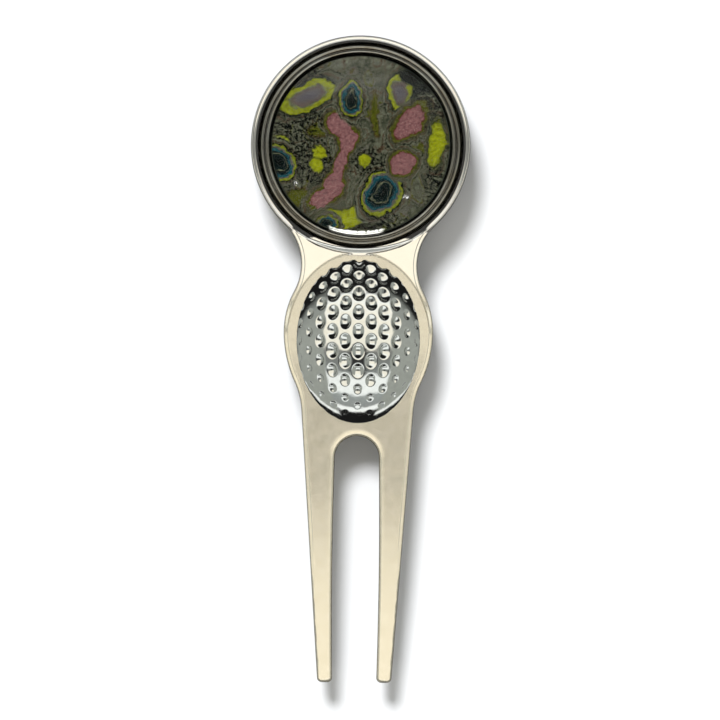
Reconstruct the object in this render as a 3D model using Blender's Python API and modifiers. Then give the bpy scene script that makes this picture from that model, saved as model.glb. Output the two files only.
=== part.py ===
"""Divot repair tool: a two-pronged plated casting with a dimpled thumb cup and a magnetic ball marker.

Metres, +Z up. The origin is on the flat back of the casting, on the ball marker's axis. +Y runs from the
prongs to the head and the face that carries the marker looks along +Z.
"""

import math

import bmesh
import bpy
from mathutils import Vector

MM = 0.001

# Standard sizes that the rest is worked out from.
MARKER_R = 12.7 * MM  # a one-inch ball marker
MAGNET_R = 5.0 * MM
MAGNET_T = 1.5 * MM

# Clearances and glue lines.
SEAT_CLEARANCE = 0.3 * MM  # round and under the marker in its recess, and round the magnet
BOND_GAP = 0.05 * MM  # between two faces that are glued together
GLUE_T = 0.15 * MM

# Casting, seen from above. Y values are distances along the tool from the marker's axis.
HEAD_R = 13.9 * MM
NECK_HALF_W = 7.37 * MM
NECK_Y = -15.2 * MM
THUMB_HALF_W = 9.45 * MM
THUMB_Y = -23.6 * MM
THUMB_LOWER_R = 15.0 * MM
SHOULDER_R = 10.0 * MM
FORK_ROOT_HALF_W = 6.9 * MM
FORK_ROOT_Y = -36.3 * MM
TIP_HALF_W = 4.68 * MM
TIP_Y = -68.0 * MM
TIP_CORNER_R = 0.6 * MM
SLOT_HALF_W = 2.8 * MM
SLOT_BELLY = 0.15 * MM  # how much wider each side of the slot is at mid length
SLOT_TOP_Y = -36.8 * MM
EDGE_R = 0.45 * MM

# Casting, seen from the side: the height of the face along the tool, and how far the prongs' backs rise.
LIP_Z = 5.0 * MM
FACE_PROFILE = [
    (TIP_Y, 2.2 * MM),
    (-62.0 * MM, 2.8 * MM),
    (-56.0 * MM, 3.28 * MM),
    (-50.0 * MM, 3.6 * MM),
    (-44.0 * MM, 3.78 * MM),
    (-40.0 * MM, 3.82 * MM),
    (-36.0 * MM, 3.84 * MM),
    (-33.0 * MM, 3.89 * MM),
    (-30.0 * MM, 4.03 * MM),
    (-24.8 * MM, 4.32 * MM),
    (-20.0 * MM, 4.6 * MM),
    (-14.0 * MM, 4.94 * MM),
    (-13.2 * MM, LIP_Z),
    (HEAD_R, LIP_Z),
]
BACK_PROFILE = [(TIP_Y, 0.45 * MM), (-50.0 * MM, 0.0), (HEAD_R, 0.0)]

# Marker recess and the magnet's pocket in its floor.
RECESS_R = MARKER_R + SEAT_CLEARANCE
RECESS_FLOOR_Z = 2.6 * MM
RECESS_CHAMFER = 0.2 * MM
POCKET_R = MAGNET_R + SEAT_CLEARANCE
MAGNET_TOP_Z = RECESS_FLOOR_Z - BOND_GAP
MAGNET_Z = MAGNET_TOP_Z - MAGNET_T
MAGNET_GLUE_Z = MAGNET_Z - BOND_GAP - GLUE_T
POCKET_FLOOR_Z = MAGNET_GLUE_Z - BOND_GAP

# Thumb cup: the print of a golf ball, stretched along the tool.
CUP_Y = -24.8 * MM
CUP_HALF_W = 8.0 * MM
CUP_HALF_L = 10.4 * MM
CUP_RIM_Z = 4.38 * MM  # height of the rim's plane at the middle of the cup
CUP_TILT = 0.052  # rise of that plane for each unit along the tool, towards the head
CUP_DEPTH = 2.55 * MM
CUP_RIM_COS = 0.56  # cosine of the angle from the bottom of the ball to the rim
BUMP_PITCH = 0.202  # angle between neighbouring bumps, in radians on the ball
BUMP_ANGLE = 0.078  # half angle of one bump
BUMP_RISE = 0.05  # height of one bump, as a share of the ball's radius

# Ball marker, from the bottom up.
TRAY_Z = RECESS_FLOOR_Z + SEAT_CLEARANCE
TRAY_FLOOR_T = 0.7 * MM
TRAY_FLOOR_Z = TRAY_Z + TRAY_FLOOR_T
TRAY_INNER_R = 11.45 * MM
BEZEL_R = 12.05 * MM
BEZEL_CREST_Z = 5.4 * MM
FLANGE_Z = 4.75 * MM
FLANGE_GROOVE = 0.25 * MM
RIM_ROUND = 0.35 * MM
BED_R = 11.35 * MM
BED_Z = TRAY_FLOOR_Z + BOND_GAP
INLAY_R = 10.95 * MM
INLAY_T = 0.4 * MM
INLAY_Z = BED_Z + GLUE_T + BOND_GAP
FILM_T = 0.1 * MM
FILM_Z = INLAY_Z + INLAY_T + BOND_GAP
LENS_R = 11.2 * MM
LENS_Z = FILM_Z + FILM_T + BOND_GAP
LENS_EDGE_T = 0.45 * MM
LENS_CROWN = 1.75 * MM  # rise of the dome above its edge

ROUND_STEPS = 48
MERGE = 1e-7  # small enough to leave every chamfer alone

COLOURS = {  # base colour, roughness, metallic
    "satin_nickel": ((0.66, 0.64, 0.58), 0.28, 1.0),
    "polished_nickel": ((0.70, 0.68, 0.62), 0.12, 1.0),
    "magnet_plating": ((0.55, 0.55, 0.54), 0.25, 1.0),
    "clear_epoxy": ((0.75, 0.70, 0.55), 0.30, 0.0),
    "black_adhesive": ((0.010, 0.012, 0.010), 0.35, 0.0),
    "marbled_paint": ((0.20, 0.20, 0.13), 0.40, 0.0),
    "clear_film": ((0.85, 0.86, 0.82), 0.10, 0.0),
    "lens_glass": ((0.92, 0.94, 0.92), 0.02, 0.0),
}


def clear_scene():
    for obj in list(bpy.data.objects):
        bpy.data.objects.remove(obj, do_unlink=True)


def make_collection(name):
    collection = bpy.data.collections.new(name)
    bpy.context.scene.collection.children.link(collection)
    return collection


def make_material(name):
    colour, roughness, metallic = COLOURS[name]
    material = bpy.data.materials.new(name)
    material.use_nodes = True
    shader = material.node_tree.nodes["Principled BSDF"]
    shader.inputs["Base Color"].default_value = (*colour, 1.0)
    shader.inputs["Roughness"].default_value = roughness
    shader.inputs["Metallic"].default_value = metallic
    return material


def move_to(obj, collection):
    for old in list(obj.users_collection):
        old.objects.unlink(obj)
    collection.objects.link(obj)
    return obj


def finish_part(obj, name, material, collection, sharp_deg=35.0):
    """Names the object, gives it its material and shades its round faces smooth."""
    obj.name = name
    obj.data.name = name
    obj.data.materials.clear()
    obj.data.materials.append(material)
    obj.data.shade_smooth()
    obj.data.set_sharp_from_angle(angle=math.radians(sharp_deg))
    return move_to(obj, collection)


def hide_cutter(obj, name, collection):
    obj.name = name
    obj.hide_render = True
    obj.display_type = "WIRE"
    return move_to(obj, collection)


def arc(centre, radius, start_deg, end_deg, steps):
    """Points on an arc, both ends included."""
    points = []
    for i in range(steps + 1):
        angle = math.radians(start_deg + (end_deg - start_deg) * i / steps)
        points.append(centre + radius * Vector((math.cos(angle), math.sin(angle))))
    return points


def bearing(start, end):
    """Direction from one point to another, in degrees."""
    return math.degrees(math.atan2(end.y - start.y, end.x - start.x))


def half_outline():
    """The right half of the casting's outline, from the top of the head round to the top of the slot."""
    head = Vector((0.0, 0.0))

    # A hollow arc leaves the head's circle and is upright where the neck is narrowest.
    neck_r = (NECK_HALF_W**2 + NECK_Y**2 - HEAD_R**2) / (2 * (HEAD_R - NECK_HALF_W))
    neck = Vector((NECK_HALF_W + neck_r, NECK_Y))

    # A round arc meets it and is upright where the thumb rest is widest.
    reach = neck.x - THUMB_HALF_W
    drop = NECK_Y - THUMB_Y
    upper_r = (reach**2 + drop**2 - neck_r**2) / (2 * (neck_r - reach))
    upper = Vector((THUMB_HALF_W - upper_r, THUMB_Y))
    lower = Vector((THUMB_HALF_W - THUMB_LOWER_R, THUMB_Y))

    # The shoulder is a hollow arc that touches the lower round arc and the fork's straight side.
    root = Vector((FORK_ROOT_HALF_W, FORK_ROOT_Y))
    down = (Vector((TIP_HALF_W, TIP_Y)) - root).normalized()
    outward = Vector((-down.y, down.x))
    start = root + outward * SHOULDER_R
    offset = start - lower
    along = offset.dot(down)
    reach_squared = (THUMB_LOWER_R + SHOULDER_R) ** 2
    shoulder = start + down * (math.sqrt(along**2 - offset.length_squared + reach_squared) - along)

    # Corners of a prong's tip, then the slot.
    outer_y = TIP_Y + TIP_CORNER_R
    outer_x = root.x - (TIP_CORNER_R + (outer_y - root.y) * outward.y) / outward.x
    side_deg = math.degrees(math.atan2(outward.y, outward.x))
    slot_top = Vector((0.0, SLOT_TOP_Y - SLOT_HALF_W))
    tip_start = Vector((SLOT_HALF_W, outer_y))

    points = arc(head, HEAD_R, 90.0, bearing(head, neck), 34)
    points += arc(neck, neck_r, 180.0 + bearing(head, neck), 360.0 + bearing(neck, upper), 12)[1:]
    points += arc(upper, upper_r, bearing(upper, neck), 0.0, 8)[1:]
    points += arc(lower, THUMB_LOWER_R, 0.0, bearing(lower, shoulder), 8)[1:]
    points += arc(shoulder, SHOULDER_R, bearing(shoulder, lower), 180.0 + side_deg, 7)[1:]
    points += arc(Vector((outer_x, outer_y)), TIP_CORNER_R, side_deg, -90.0, 4)
    points += arc(Vector((SLOT_HALF_W + TIP_CORNER_R, outer_y)), TIP_CORNER_R, -90.0, -180.0, 4)
    slot_steps = 8
    for i in range(1, slot_steps):
        share = i / slot_steps
        point = tip_start.lerp(Vector((SLOT_HALF_W, slot_top.y)), share)
        points.append(point + Vector((SLOT_BELLY * math.sin(math.pi * share), 0.0)))
    points += arc(slot_top, SLOT_HALF_W, 0.0, 90.0, 10)
    return points


def height_at(profile, y):
    """Straight-line reading of a side profile at y."""
    for (y0, z0), (y1, z1) in zip(profile, profile[1:]):
        if y <= y1:
            return z0 + (z1 - z0) * max(0.0, y - y0) / (y1 - y0)
    return profile[-1][1]


def casting_blank():
    """The outline as a plate with rounded edges, its face and back then moved to the side profiles."""
    right = half_outline()
    left = [Vector((-p.x, p.y)) for p in reversed(right[1:-1])]
    outline = right + left
    curve = bpy.data.curves.new("casting_outline", "CURVE")
    curve.dimensions = "2D"
    curve.fill_mode = "BOTH"
    curve.extrude = LIP_Z / 2 - EDGE_R
    curve.bevel_depth = EDGE_R
    curve.bevel_resolution = 1
    curve.offset = -EDGE_R
    spline = curve.splines.new("POLY")
    spline.points.add(len(outline) - 1)
    for point, place in zip(spline.points, outline):
        point.co = (place.x, place.y, 0.0, 1.0)
    spline.use_cyclic_u = True
    guide = bpy.data.objects.new("casting_outline", curve)
    guide.location.z = LIP_Z / 2
    bpy.context.scene.collection.objects.link(guide)
    bpy.context.view_layer.update()
    graph = bpy.context.evaluated_depsgraph_get()
    mesh = bpy.data.meshes.new_from_object(guide.evaluated_get(graph))
    blank = bpy.data.objects.new("tool_body", mesh)
    mesh.transform(guide.matrix_world)
    bpy.context.scene.collection.objects.link(blank)
    bpy.data.objects.remove(guide)

    shape = bmesh.new()
    shape.from_mesh(mesh)
    bmesh.ops.remove_doubles(shape, verts=shape.verts, dist=MERGE)
    breaks = {y for y, _ in FACE_PROFILE[1:-1] + BACK_PROFILE[1:-1]}
    for y in sorted(breaks):
        everything = shape.verts[:] + shape.edges[:] + shape.faces[:]
        bmesh.ops.bisect_plane(
            shape, geom=everything, dist=MERGE, plane_co=(0.0, y, 0.0), plane_no=(0.0, 1.0, 0.0)
        )
    for vert in shape.verts:
        if vert.co.z > LIP_Z / 2:
            vert.co.z += height_at(FACE_PROFILE, vert.co.y) - LIP_Z
        else:
            vert.co.z += height_at(BACK_PROFILE, vert.co.y)
    bmesh.ops.recalc_face_normals(shape, faces=shape.faces)
    shape.to_mesh(mesh)
    shape.free()
    return blank


def turned(profile, name):
    """A solid turned round the Z axis from (radius, height) points that run down its outer side."""
    mesh = bpy.data.meshes.new(name)
    edges = [(i, i + 1) for i in range(len(profile) - 1)]
    mesh.from_pydata([(r, 0.0, z) for r, z in profile], edges, [])
    obj = bpy.data.objects.new(name, mesh)
    bpy.context.scene.collection.objects.link(obj)
    screw = obj.modifiers.new("turn", "SCREW")
    screw.axis = "Z"
    screw.steps = ROUND_STEPS
    screw.render_steps = ROUND_STEPS
    screw.use_merge_vertices = True
    screw.merge_threshold = MERGE
    return obj


def disc(radius, base_z, thickness, name):
    bpy.ops.mesh.primitive_cylinder_add(
        vertices=ROUND_STEPS, radius=radius, depth=thickness, location=(0.0, 0.0, base_z + thickness / 2)
    )
    obj = bpy.context.object
    obj.name = name
    return obj


def recess_cutter():
    """Marker recess with a chamfered mouth, and the magnet's pocket in its floor."""
    above = LIP_Z + 2 * RECESS_CHAMFER
    profile = [
        (0.0, above),
        (RECESS_R + 3 * RECESS_CHAMFER, above),
        (RECESS_R, LIP_Z - RECESS_CHAMFER),
        (RECESS_R, RECESS_FLOOR_Z),
        (POCKET_R, RECESS_FLOOR_Z),
        (POCKET_R, POCKET_FLOOR_Z),
        (0.0, POCKET_FLOOR_Z),
    ]
    return turned(profile, "recess_cutter")


def ball_frame():
    """Semi-axes and centre of the stretched ball whose lower cap, once tilted, is the thumb cup."""
    rim_sin = math.sqrt(1.0 - CUP_RIM_COS**2)
    height = CUP_DEPTH / (1.0 - CUP_RIM_COS)
    axes = Vector((CUP_HALF_W / rim_sin, CUP_HALF_L / rim_sin, height))
    return axes, Vector((0.0, CUP_Y, CUP_RIM_Z + CUP_RIM_COS * height))


def tilted(spot):
    """A point of the cup, raised or lowered so that the rim follows the slope of the face."""
    return Vector((spot.x, spot.y, spot.z + CUP_TILT * (spot.y - CUP_Y)))


def bump_directions():
    """Unit directions to the bumps: a honeycomb wrapped round the bottom of the ball."""
    limit = math.acos(CUP_RIM_COS) + BUMP_ANGLE / 2
    column_pitch = BUMP_PITCH * math.sin(math.radians(60.0))
    reach = math.ceil(limit / column_pitch)
    directions = []
    for column in range(-reach, reach + 1):
        shift = 0.5 if column % 2 == 0 else 0.0
        for row in range(-reach, reach + 1):
            flat = Vector((column * column_pitch, (row + shift) * BUMP_PITCH))
            angle = flat.length
            if angle > limit:
                continue
            side = flat.normalized() * math.sin(angle)
            directions.append(Vector((side.x, side.y, -math.cos(angle))))
    return directions


def cup_cutter():
    """A golf ball with dimples, stretched along the tool. Its dimples leave the cup's bumps."""
    stretch, centre = ball_frame()
    bpy.ops.mesh.primitive_uv_sphere_add(segments=36, ring_count=24, radius=1.0)
    ball = bpy.context.object
    ball.scale = stretch
    ball.location = centre
    bpy.ops.object.transform_apply(location=True, rotation=False, scale=True)
    for vert in ball.data.vertices:
        vert.co = tilted(vert.co)

    # A small ball that passes through a bump's foot and its top, in units of the big ball's radius.
    foot = math.sin(BUMP_ANGLE)
    small_r = (foot**2 + BUMP_RISE**2) / (2 * BUMP_RISE)
    shape = bmesh.new()
    for direction in bump_directions():
        middle = direction * (1.0 - BUMP_RISE + small_r)
        upright = direction.to_track_quat("Z", "Y")
        made = bmesh.ops.create_icosphere(shape, subdivisions=1, radius=small_r)
        for vert in made["verts"]:
            spot = middle + upright @ vert.co
            vert.co = tilted(Vector(a * b for a, b in zip(spot, stretch)) + centre)
    mesh = bpy.data.meshes.new("bump_cutter")
    shape.to_mesh(mesh)
    shape.free()
    bumps = bpy.data.objects.new("bump_cutter", mesh)
    bpy.context.scene.collection.objects.link(bumps)
    cut(ball, bumps, "dimples")
    return ball, bumps


def cut(obj, cutter, name):
    modifier = obj.modifiers.new(name, "BOOLEAN")
    modifier.operation = "DIFFERENCE"
    modifier.solver = "EXACT"
    modifier.object = cutter


def soften(obj, width):
    """Breaks the sharp edges of a disc."""
    bevel = obj.modifiers.new("soften", "BEVEL")
    bevel.width = width
    bevel.segments = 1
    bevel.limit_method = "ANGLE"


def build_tool(parts, cutters, materials):
    body = casting_blank()
    recess = hide_cutter(recess_cutter(), "recess_cutter", cutters)
    ball, bumps = cup_cutter()
    hide_cutter(ball, "cup_cutter", cutters)
    hide_cutter(bumps, "bump_cutter", cutters)
    cut(body, recess, "marker_recess")
    cut(body, ball, "thumb_cup")
    finish_part(body, "tool_body", materials["satin_nickel"], parts)

    glue = disc(MAGNET_R, MAGNET_GLUE_Z, GLUE_T, "magnet_adhesive")
    finish_part(glue, "magnet_adhesive", materials["clear_epoxy"], parts)

    magnet = disc(MAGNET_R, MAGNET_Z, MAGNET_T, "holding_magnet")
    soften(magnet, 0.15 * MM)
    finish_part(magnet, "holding_magnet", materials["magnet_plating"], parts)


def tray_profile():
    """Pressed tray: a thin floor, an upstanding bezel, and a lower flange round it."""
    crest = (TRAY_INNER_R + BEZEL_R) / 2
    return [
        (0.0, TRAY_FLOOR_Z),
        (TRAY_INNER_R, TRAY_FLOOR_Z),
        (TRAY_INNER_R + 0.1 * MM, BEZEL_CREST_Z - 0.3 * MM),
        (crest, BEZEL_CREST_Z),
        (crest + 0.1 * MM, BEZEL_CREST_Z),
        (BEZEL_R, BEZEL_CREST_Z - 0.2 * MM),
        (BEZEL_R + 0.03 * MM, FLANGE_Z - FLANGE_GROOVE),
        (BEZEL_R + 0.18 * MM, FLANGE_Z),
        (MARKER_R - RIM_ROUND, FLANGE_Z),
        (MARKER_R - 0.3 * RIM_ROUND, FLANGE_Z - 0.3 * RIM_ROUND),
        (MARKER_R, FLANGE_Z - RIM_ROUND),
        (MARKER_R, TRAY_Z + RIM_ROUND),
        (MARKER_R - RIM_ROUND, TRAY_Z),
        (0.0, TRAY_Z),
    ]


def lens_profile():
    """Flat-backed dome: steep at its edge and almost flat in the middle."""
    edge_z = LENS_Z + LENS_EDGE_T
    steps = 8
    profile = []
    for i in range(steps + 1):
        angle = math.radians(90.0 * i / steps)
        profile.append((LENS_R * math.sin(angle), edge_z + LENS_CROWN * math.cos(angle)))
    return profile + [(LENS_R, LENS_Z), (0.0, LENS_Z)]


def build_marker(parts, materials):
    """The ball marker. It lifts out of the head as one, along the axis that its empty stands on."""
    axis = bpy.data.objects.new("marker_axis", None)
    axis.location.z = RECESS_FLOOR_Z
    parts.objects.link(axis)
    pieces = [
        (turned(tray_profile(), "marker_tray"), "marker_tray", "polished_nickel"),
        (disc(BED_R, BED_Z, GLUE_T, "inlay_bed"), "inlay_bed", "black_adhesive"),
        (disc(INLAY_R, INLAY_Z, INLAY_T, "marbled_inlay"), "marbled_inlay", "marbled_paint"),
        (disc(INLAY_R, FILM_Z, FILM_T, "lens_film"), "lens_film", "clear_film"),
        (turned(lens_profile(), "domed_lens"), "domed_lens", "lens_glass"),
    ]
    bpy.context.view_layer.update()
    for obj, name, material in pieces:
        finish_part(obj, name, materials[material], parts)
        obj.parent = axis
        obj.matrix_parent_inverse = axis.matrix_world.inverted()


def main():
    clear_scene()
    parts = make_collection("divot_repair_tool")
    cutters = make_collection("cutters")
    materials = {name: make_material(name) for name in COLOURS}
    build_tool(parts, cutters, materials)
    build_marker(parts, materials)


main()
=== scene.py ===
"""Looks of the divot repair tool: a satin nickel casting with a bright dimpled cup, and its ball marker.

Lengths are millimetres until a mesh is made, which turns them into the frame's metres. +Y runs from the
prongs to the head, and +Z comes out of the face that carries the marker.
"""

import math

import bpy
import numpy as np
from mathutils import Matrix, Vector
from mathutils.geometry import delaunay_2d_cdt


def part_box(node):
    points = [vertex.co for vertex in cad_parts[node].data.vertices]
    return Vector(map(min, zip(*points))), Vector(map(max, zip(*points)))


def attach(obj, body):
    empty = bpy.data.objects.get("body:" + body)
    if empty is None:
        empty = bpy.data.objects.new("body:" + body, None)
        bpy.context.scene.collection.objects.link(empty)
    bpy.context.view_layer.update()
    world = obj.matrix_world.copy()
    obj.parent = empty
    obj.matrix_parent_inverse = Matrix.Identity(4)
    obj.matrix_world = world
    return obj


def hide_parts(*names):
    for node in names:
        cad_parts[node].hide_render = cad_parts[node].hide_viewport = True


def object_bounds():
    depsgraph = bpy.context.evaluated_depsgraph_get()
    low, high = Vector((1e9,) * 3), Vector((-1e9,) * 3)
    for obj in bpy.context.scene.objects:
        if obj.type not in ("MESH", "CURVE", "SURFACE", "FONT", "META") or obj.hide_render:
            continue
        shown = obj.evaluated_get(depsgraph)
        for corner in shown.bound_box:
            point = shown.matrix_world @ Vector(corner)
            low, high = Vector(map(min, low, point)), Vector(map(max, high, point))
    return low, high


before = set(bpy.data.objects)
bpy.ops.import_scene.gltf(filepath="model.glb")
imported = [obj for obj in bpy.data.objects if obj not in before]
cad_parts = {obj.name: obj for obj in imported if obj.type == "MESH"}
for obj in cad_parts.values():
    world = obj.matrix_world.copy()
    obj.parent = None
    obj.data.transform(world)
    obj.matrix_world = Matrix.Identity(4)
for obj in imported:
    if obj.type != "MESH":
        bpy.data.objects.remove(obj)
cad_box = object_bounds()

MM = 0.001


def frame_box(node):
    """Lowest and highest corner of a CAD node, in millimetres."""
    low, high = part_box(node)
    return low / MM, high / MM


BODY_LOW, BODY_HIGH = frame_box("tool_body")
TRAY_LOW, TRAY_HIGH = frame_box("marker_tray")
BED_LOW, BED_HIGH = frame_box("inlay_bed")
INLAY_LOW, INLAY_HIGH = frame_box("marbled_inlay")
LENS_LOW, LENS_HIGH = frame_box("domed_lens")
MAGNET_LOW, MAGNET_HIGH = frame_box("holding_magnet")

# Casting seen from above.
HEAD_R = BODY_HIGH.x - 0.005  # the casting stays just inside the CAD's box
TIP_Y = BODY_LOW.y
NECK_HALF_W = 7.37
NECK_Y = -15.2
THUMB_HALF_W = 9.45
THUMB_Y = -23.6
THUMB_LOWER_R = 15.0
SHOULDER_R = 10.0
FORK_ROOT_HALF_W = 6.9
FORK_ROOT_Y = -36.3
TIP_HALF_W = 4.68
TIP_CORNER_R = 0.6
SLOT_HALF_W = 2.8
SLOT_BELLY = 0.15
SLOT_TOP_Y = -36.8
OUTLINE_STEP = 0.25

# Casting seen from the side.
LIP_Z = BODY_HIGH.z
FACE_TOP = (-14.0, 4.95)  # place and height of the face where it meets the head
FACE_SLOPES = [(-68.0, 0.115), (-42.0, 0.018), (-34.0, 0.018), (-29.5, 0.026), (-25.0, 0.056), (14.0, 0.06)]
LAND_TOP = (-13.3, 4.80)  # the same for the lower land on both sides of the thumb section
LAND_SLOPES = [(-68.0, 0.05), (-22.0, 0.05), (-19.0, 0.12), (-11.5, 0.12), (-10.5, 0.0), (14.0, 0.0)]
LAND_START = (-24.0, -19.5)  # places between which it drops away from the face
FACE_BELOW_LIP = 0.02
BACK_RISE = 0.45
BACK_RISE_Y = -50.0
DRAFT = 0.05  # how far the wall's top and bottom edges stand in from its parting line
WALL_STEPS = 6

# Its edges.
ROUND_R = 0.18
SLOT_ROUND_R = 0.30
SLOT_SIDE = (0.5, 0.9)  # distances from the slot between which its round gives way to the outside's
LEDGE_W = 0.47
LEDGE_SLOPE = 0.10
LEDGE_STEP = 0.05
LEDGE_STEP_W = 0.14
LEDGE_BEND = 0.03  # softness of its bend
LEDGE_END = (-56.0, -48.0)  # places between which the ledge gives way to a steeper chamfer
CHAMFER_W = 0.20
CHAMFER_SLOPE = 0.96
CHAMFER_START = (-56.5, -53.0)
CHAMFER_BEND = 0.02
CHAMFER_WAVES = ((0.03, 1.9), (0.02, 4.3))  # how uneven its width is: size and pitch
HALO_DROP = 0.07  # how far the face dips round the slot
HALO_W = 1.1
EDGE_RINGS = (0.0, 0.01, 0.03, 0.06, 0.1, 0.15, 0.22, 0.3, 0.36, 0.4, 0.43, 0.46, 0.49, 0.52, 0.54)
BACK_R = 0.35
BACK_RINGS = (0.0, 0.015, 0.05, 0.11, 0.19, 0.28, 0.37, 0.5)

# Recess for the marker.
RECESS_R = TRAY_HIGH.x + 0.3
RECESS_FLOOR_Z = TRAY_LOW.z - 0.3
POCKET_R = MAGNET_HIGH.x + 0.3
POCKET_FLOOR_Z = 0.8
RING_INNER_ROUND = 0.06
RING_OUTER_ROUND = 0.25
RING_CREST_R = 13.62
RING_CREST_BEND = 0.04
RING_SLOPE = 0.38
RING_SKIRT_SLOPE = 2.5
RING_FILLET = 0.05
TURNED_STEPS = 288

# Thumb cup: the lower cap of a stretched ball, with a honeycomb of bumps.
CUP_Y = -24.8
CUP_HALF_W = 8.0
CUP_HALF_L = 10.4
CUP_DEPTH = 2.55
CUP_SKEW = 0.36  # how much further the cup's floor dips towards the prongs than towards the head
CUP_RIM_COS = 0.56
BUMP_PITCH = 0.202
BUMP_ANGLE = 0.078
BUMP_RISE = 0.052
BUMP_FOOT = 0.12  # softness of the fillet at a bump's foot
BUMP_SHRINK = (0.32, 0.86)  # angles between which bumps get smaller towards the cup's sides
BUMP_STRETCH = (1.2, 0.3)  # how much angles count for that towards the prongs and towards the head
BUMP_NARROWER = 0.45  # how much smaller the smallest are, and how much lower
BUMP_LOWER = 0.7
BUMP_FADE = 0.82  # angle at which they start to fade towards its rim
BUMP_FADE_EARLY = 0.16  # how much earlier they fade towards the prongs
BUMP_FADE_W = 0.15
BUMP_GONE = (0.5, 0.42)  # how far they fade, and how much further towards the prongs
RIM_STEPS = 720
RIM_ROUND = 0.05
BAND_HALF_W = 9.0
BAND_HALF_L = 11.1
BAND_EDGE = (-0.03, 0.16)  # distances beyond the band between which the face steps down to the land
RING_POLISH_END = (HEAD_R - 0.15, HEAD_R + 0.25)  # radii between which the ring's polish ends
NECK_POLISH = 0.7  # how far the neck is polished, where the head's ring is 1
NECK_POLISH_Y = (-20.0, -16.0)
NECK_POLISH_START = (0.0, 0.4)  # distances beyond the cup's band
POLISH_FROM = (1.2, 2.2)  # heights between which the polish sets in: the back has none

FACE_STEP = 0.2  # spacing of the face's inner points
CUP_STEP = 0.0125  # the same in the cup, in radians on its ball
BEND_STEP = 0.055  # the same across the face's bends
FAR = 9.0  # distance at which an edge has no effect


# ---------------------------------------------------------------- shape helpers


def smoothstep(low, high, value):
    share = np.clip((value - low) / (high - low), 0.0, 1.0)
    return share * share * (3.0 - 2.0 * share)


def smooth_max(a, b, width):
    return 0.5 * (a + b + np.sqrt((a - b) ** 2 + width**2))


def quarter_round(depth, radius):
    """How far a rounded edge has dropped at some depth inside it."""
    inside = np.clip(radius - depth, 0.0, radius)
    return radius - np.sqrt(radius**2 - inside**2)


def arc(centre, radius, start_deg, end_deg):
    """Points on an arc, both ends included, close enough together for its radius."""
    length = abs(math.radians(end_deg - start_deg)) * radius
    steps = max(math.ceil(length / OUTLINE_STEP), math.ceil(abs(end_deg - start_deg) / 12.0))
    angles = np.radians(np.linspace(start_deg, end_deg, steps + 1))
    return [Vector((centre.x + radius * math.cos(a), centre.y + radius * math.sin(a))) for a in angles]


def line(start, end):
    """Points on a straight run, without its two ends."""
    steps = math.ceil((end - start).length / OUTLINE_STEP)
    return [start.lerp(end, i / steps) for i in range(1, steps)]


def bearing(start, end):
    return math.degrees(math.atan2(end.y - start.y, end.x - start.x))


def half_outline():
    """The right half of the casting's outline, from the top of the head round to the top of the slot."""
    head = Vector((0.0, 0.0))
    neck_r = (NECK_HALF_W**2 + NECK_Y**2 - HEAD_R**2) / (2 * (HEAD_R - NECK_HALF_W))
    neck = Vector((NECK_HALF_W + neck_r, NECK_Y))
    reach = neck.x - THUMB_HALF_W
    upper_r = (reach**2 + (NECK_Y - THUMB_Y) ** 2 - neck_r**2) / (2 * (neck_r - reach))
    upper = Vector((THUMB_HALF_W - upper_r, THUMB_Y))
    lower = Vector((THUMB_HALF_W - THUMB_LOWER_R, THUMB_Y))

    root = Vector((FORK_ROOT_HALF_W, FORK_ROOT_Y))
    down = (Vector((TIP_HALF_W, TIP_Y)) - root).normalized()
    outward = Vector((-down.y, down.x))
    start = root + outward * SHOULDER_R
    offset = start - lower
    along = offset.dot(down)
    span = (THUMB_LOWER_R + SHOULDER_R) ** 2
    shoulder = start + down * (math.sqrt(along**2 - offset.length_squared + span) - along)

    corner_y = TIP_Y + TIP_CORNER_R
    corner_x = root.x - (TIP_CORNER_R + (corner_y - root.y) * outward.y) / outward.x
    side_deg = math.degrees(math.atan2(outward.y, outward.x))
    slot_top = Vector((0.0, SLOT_TOP_Y - SLOT_HALF_W))
    slot_run = line(Vector((SLOT_HALF_W, corner_y)), Vector((SLOT_HALF_W, slot_top.y)))

    points = arc(head, HEAD_R, 90.0, bearing(head, neck))
    points += arc(neck, neck_r, 180.0 + bearing(head, neck), 360.0 + bearing(neck, upper))[1:]
    points += arc(upper, upper_r, bearing(upper, neck), 0.0)[1:]
    points += arc(lower, THUMB_LOWER_R, 0.0, bearing(lower, shoulder))[1:]
    points += arc(shoulder, SHOULDER_R, bearing(shoulder, lower), 180.0 + side_deg)[1:]
    outer = arc(Vector((corner_x, corner_y)), TIP_CORNER_R, side_deg, -90.0)
    points += line(points[-1], outer[0]) + outer
    inner = arc(Vector((SLOT_HALF_W + TIP_CORNER_R, corner_y)), TIP_CORNER_R, -90.0, -180.0)
    points += line(points[-1], inner[0]) + inner
    for i, point in enumerate(slot_run, 1):
        points.append(point + Vector((SLOT_BELLY * math.sin(math.pi * i / (len(slot_run) + 1)), 0.0)))
    return points + arc(slot_top, SLOT_HALF_W, 0.0, 90.0)


def whole_outline():
    """Both halves as one loop that runs counterclockwise, with its outward normals and its slot marked."""
    right = half_outline()
    left = [Vector((-p.x, p.y)) for p in reversed(right[1:-1])]
    loop = np.array(right + left)[::-1]
    ahead = np.roll(loop, -1, axis=0) - np.roll(loop, 1, axis=0)
    ahead /= np.linalg.norm(ahead, axis=1)[:, None]
    normals = np.stack([ahead[:, 1], -ahead[:, 0]], axis=1)
    in_slot = (np.abs(loop[:, 0]) < SLOT_HALF_W + 0.2) & (loop[:, 1] < SLOT_TOP_Y + 0.01)
    return loop, normals, in_slot


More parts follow.
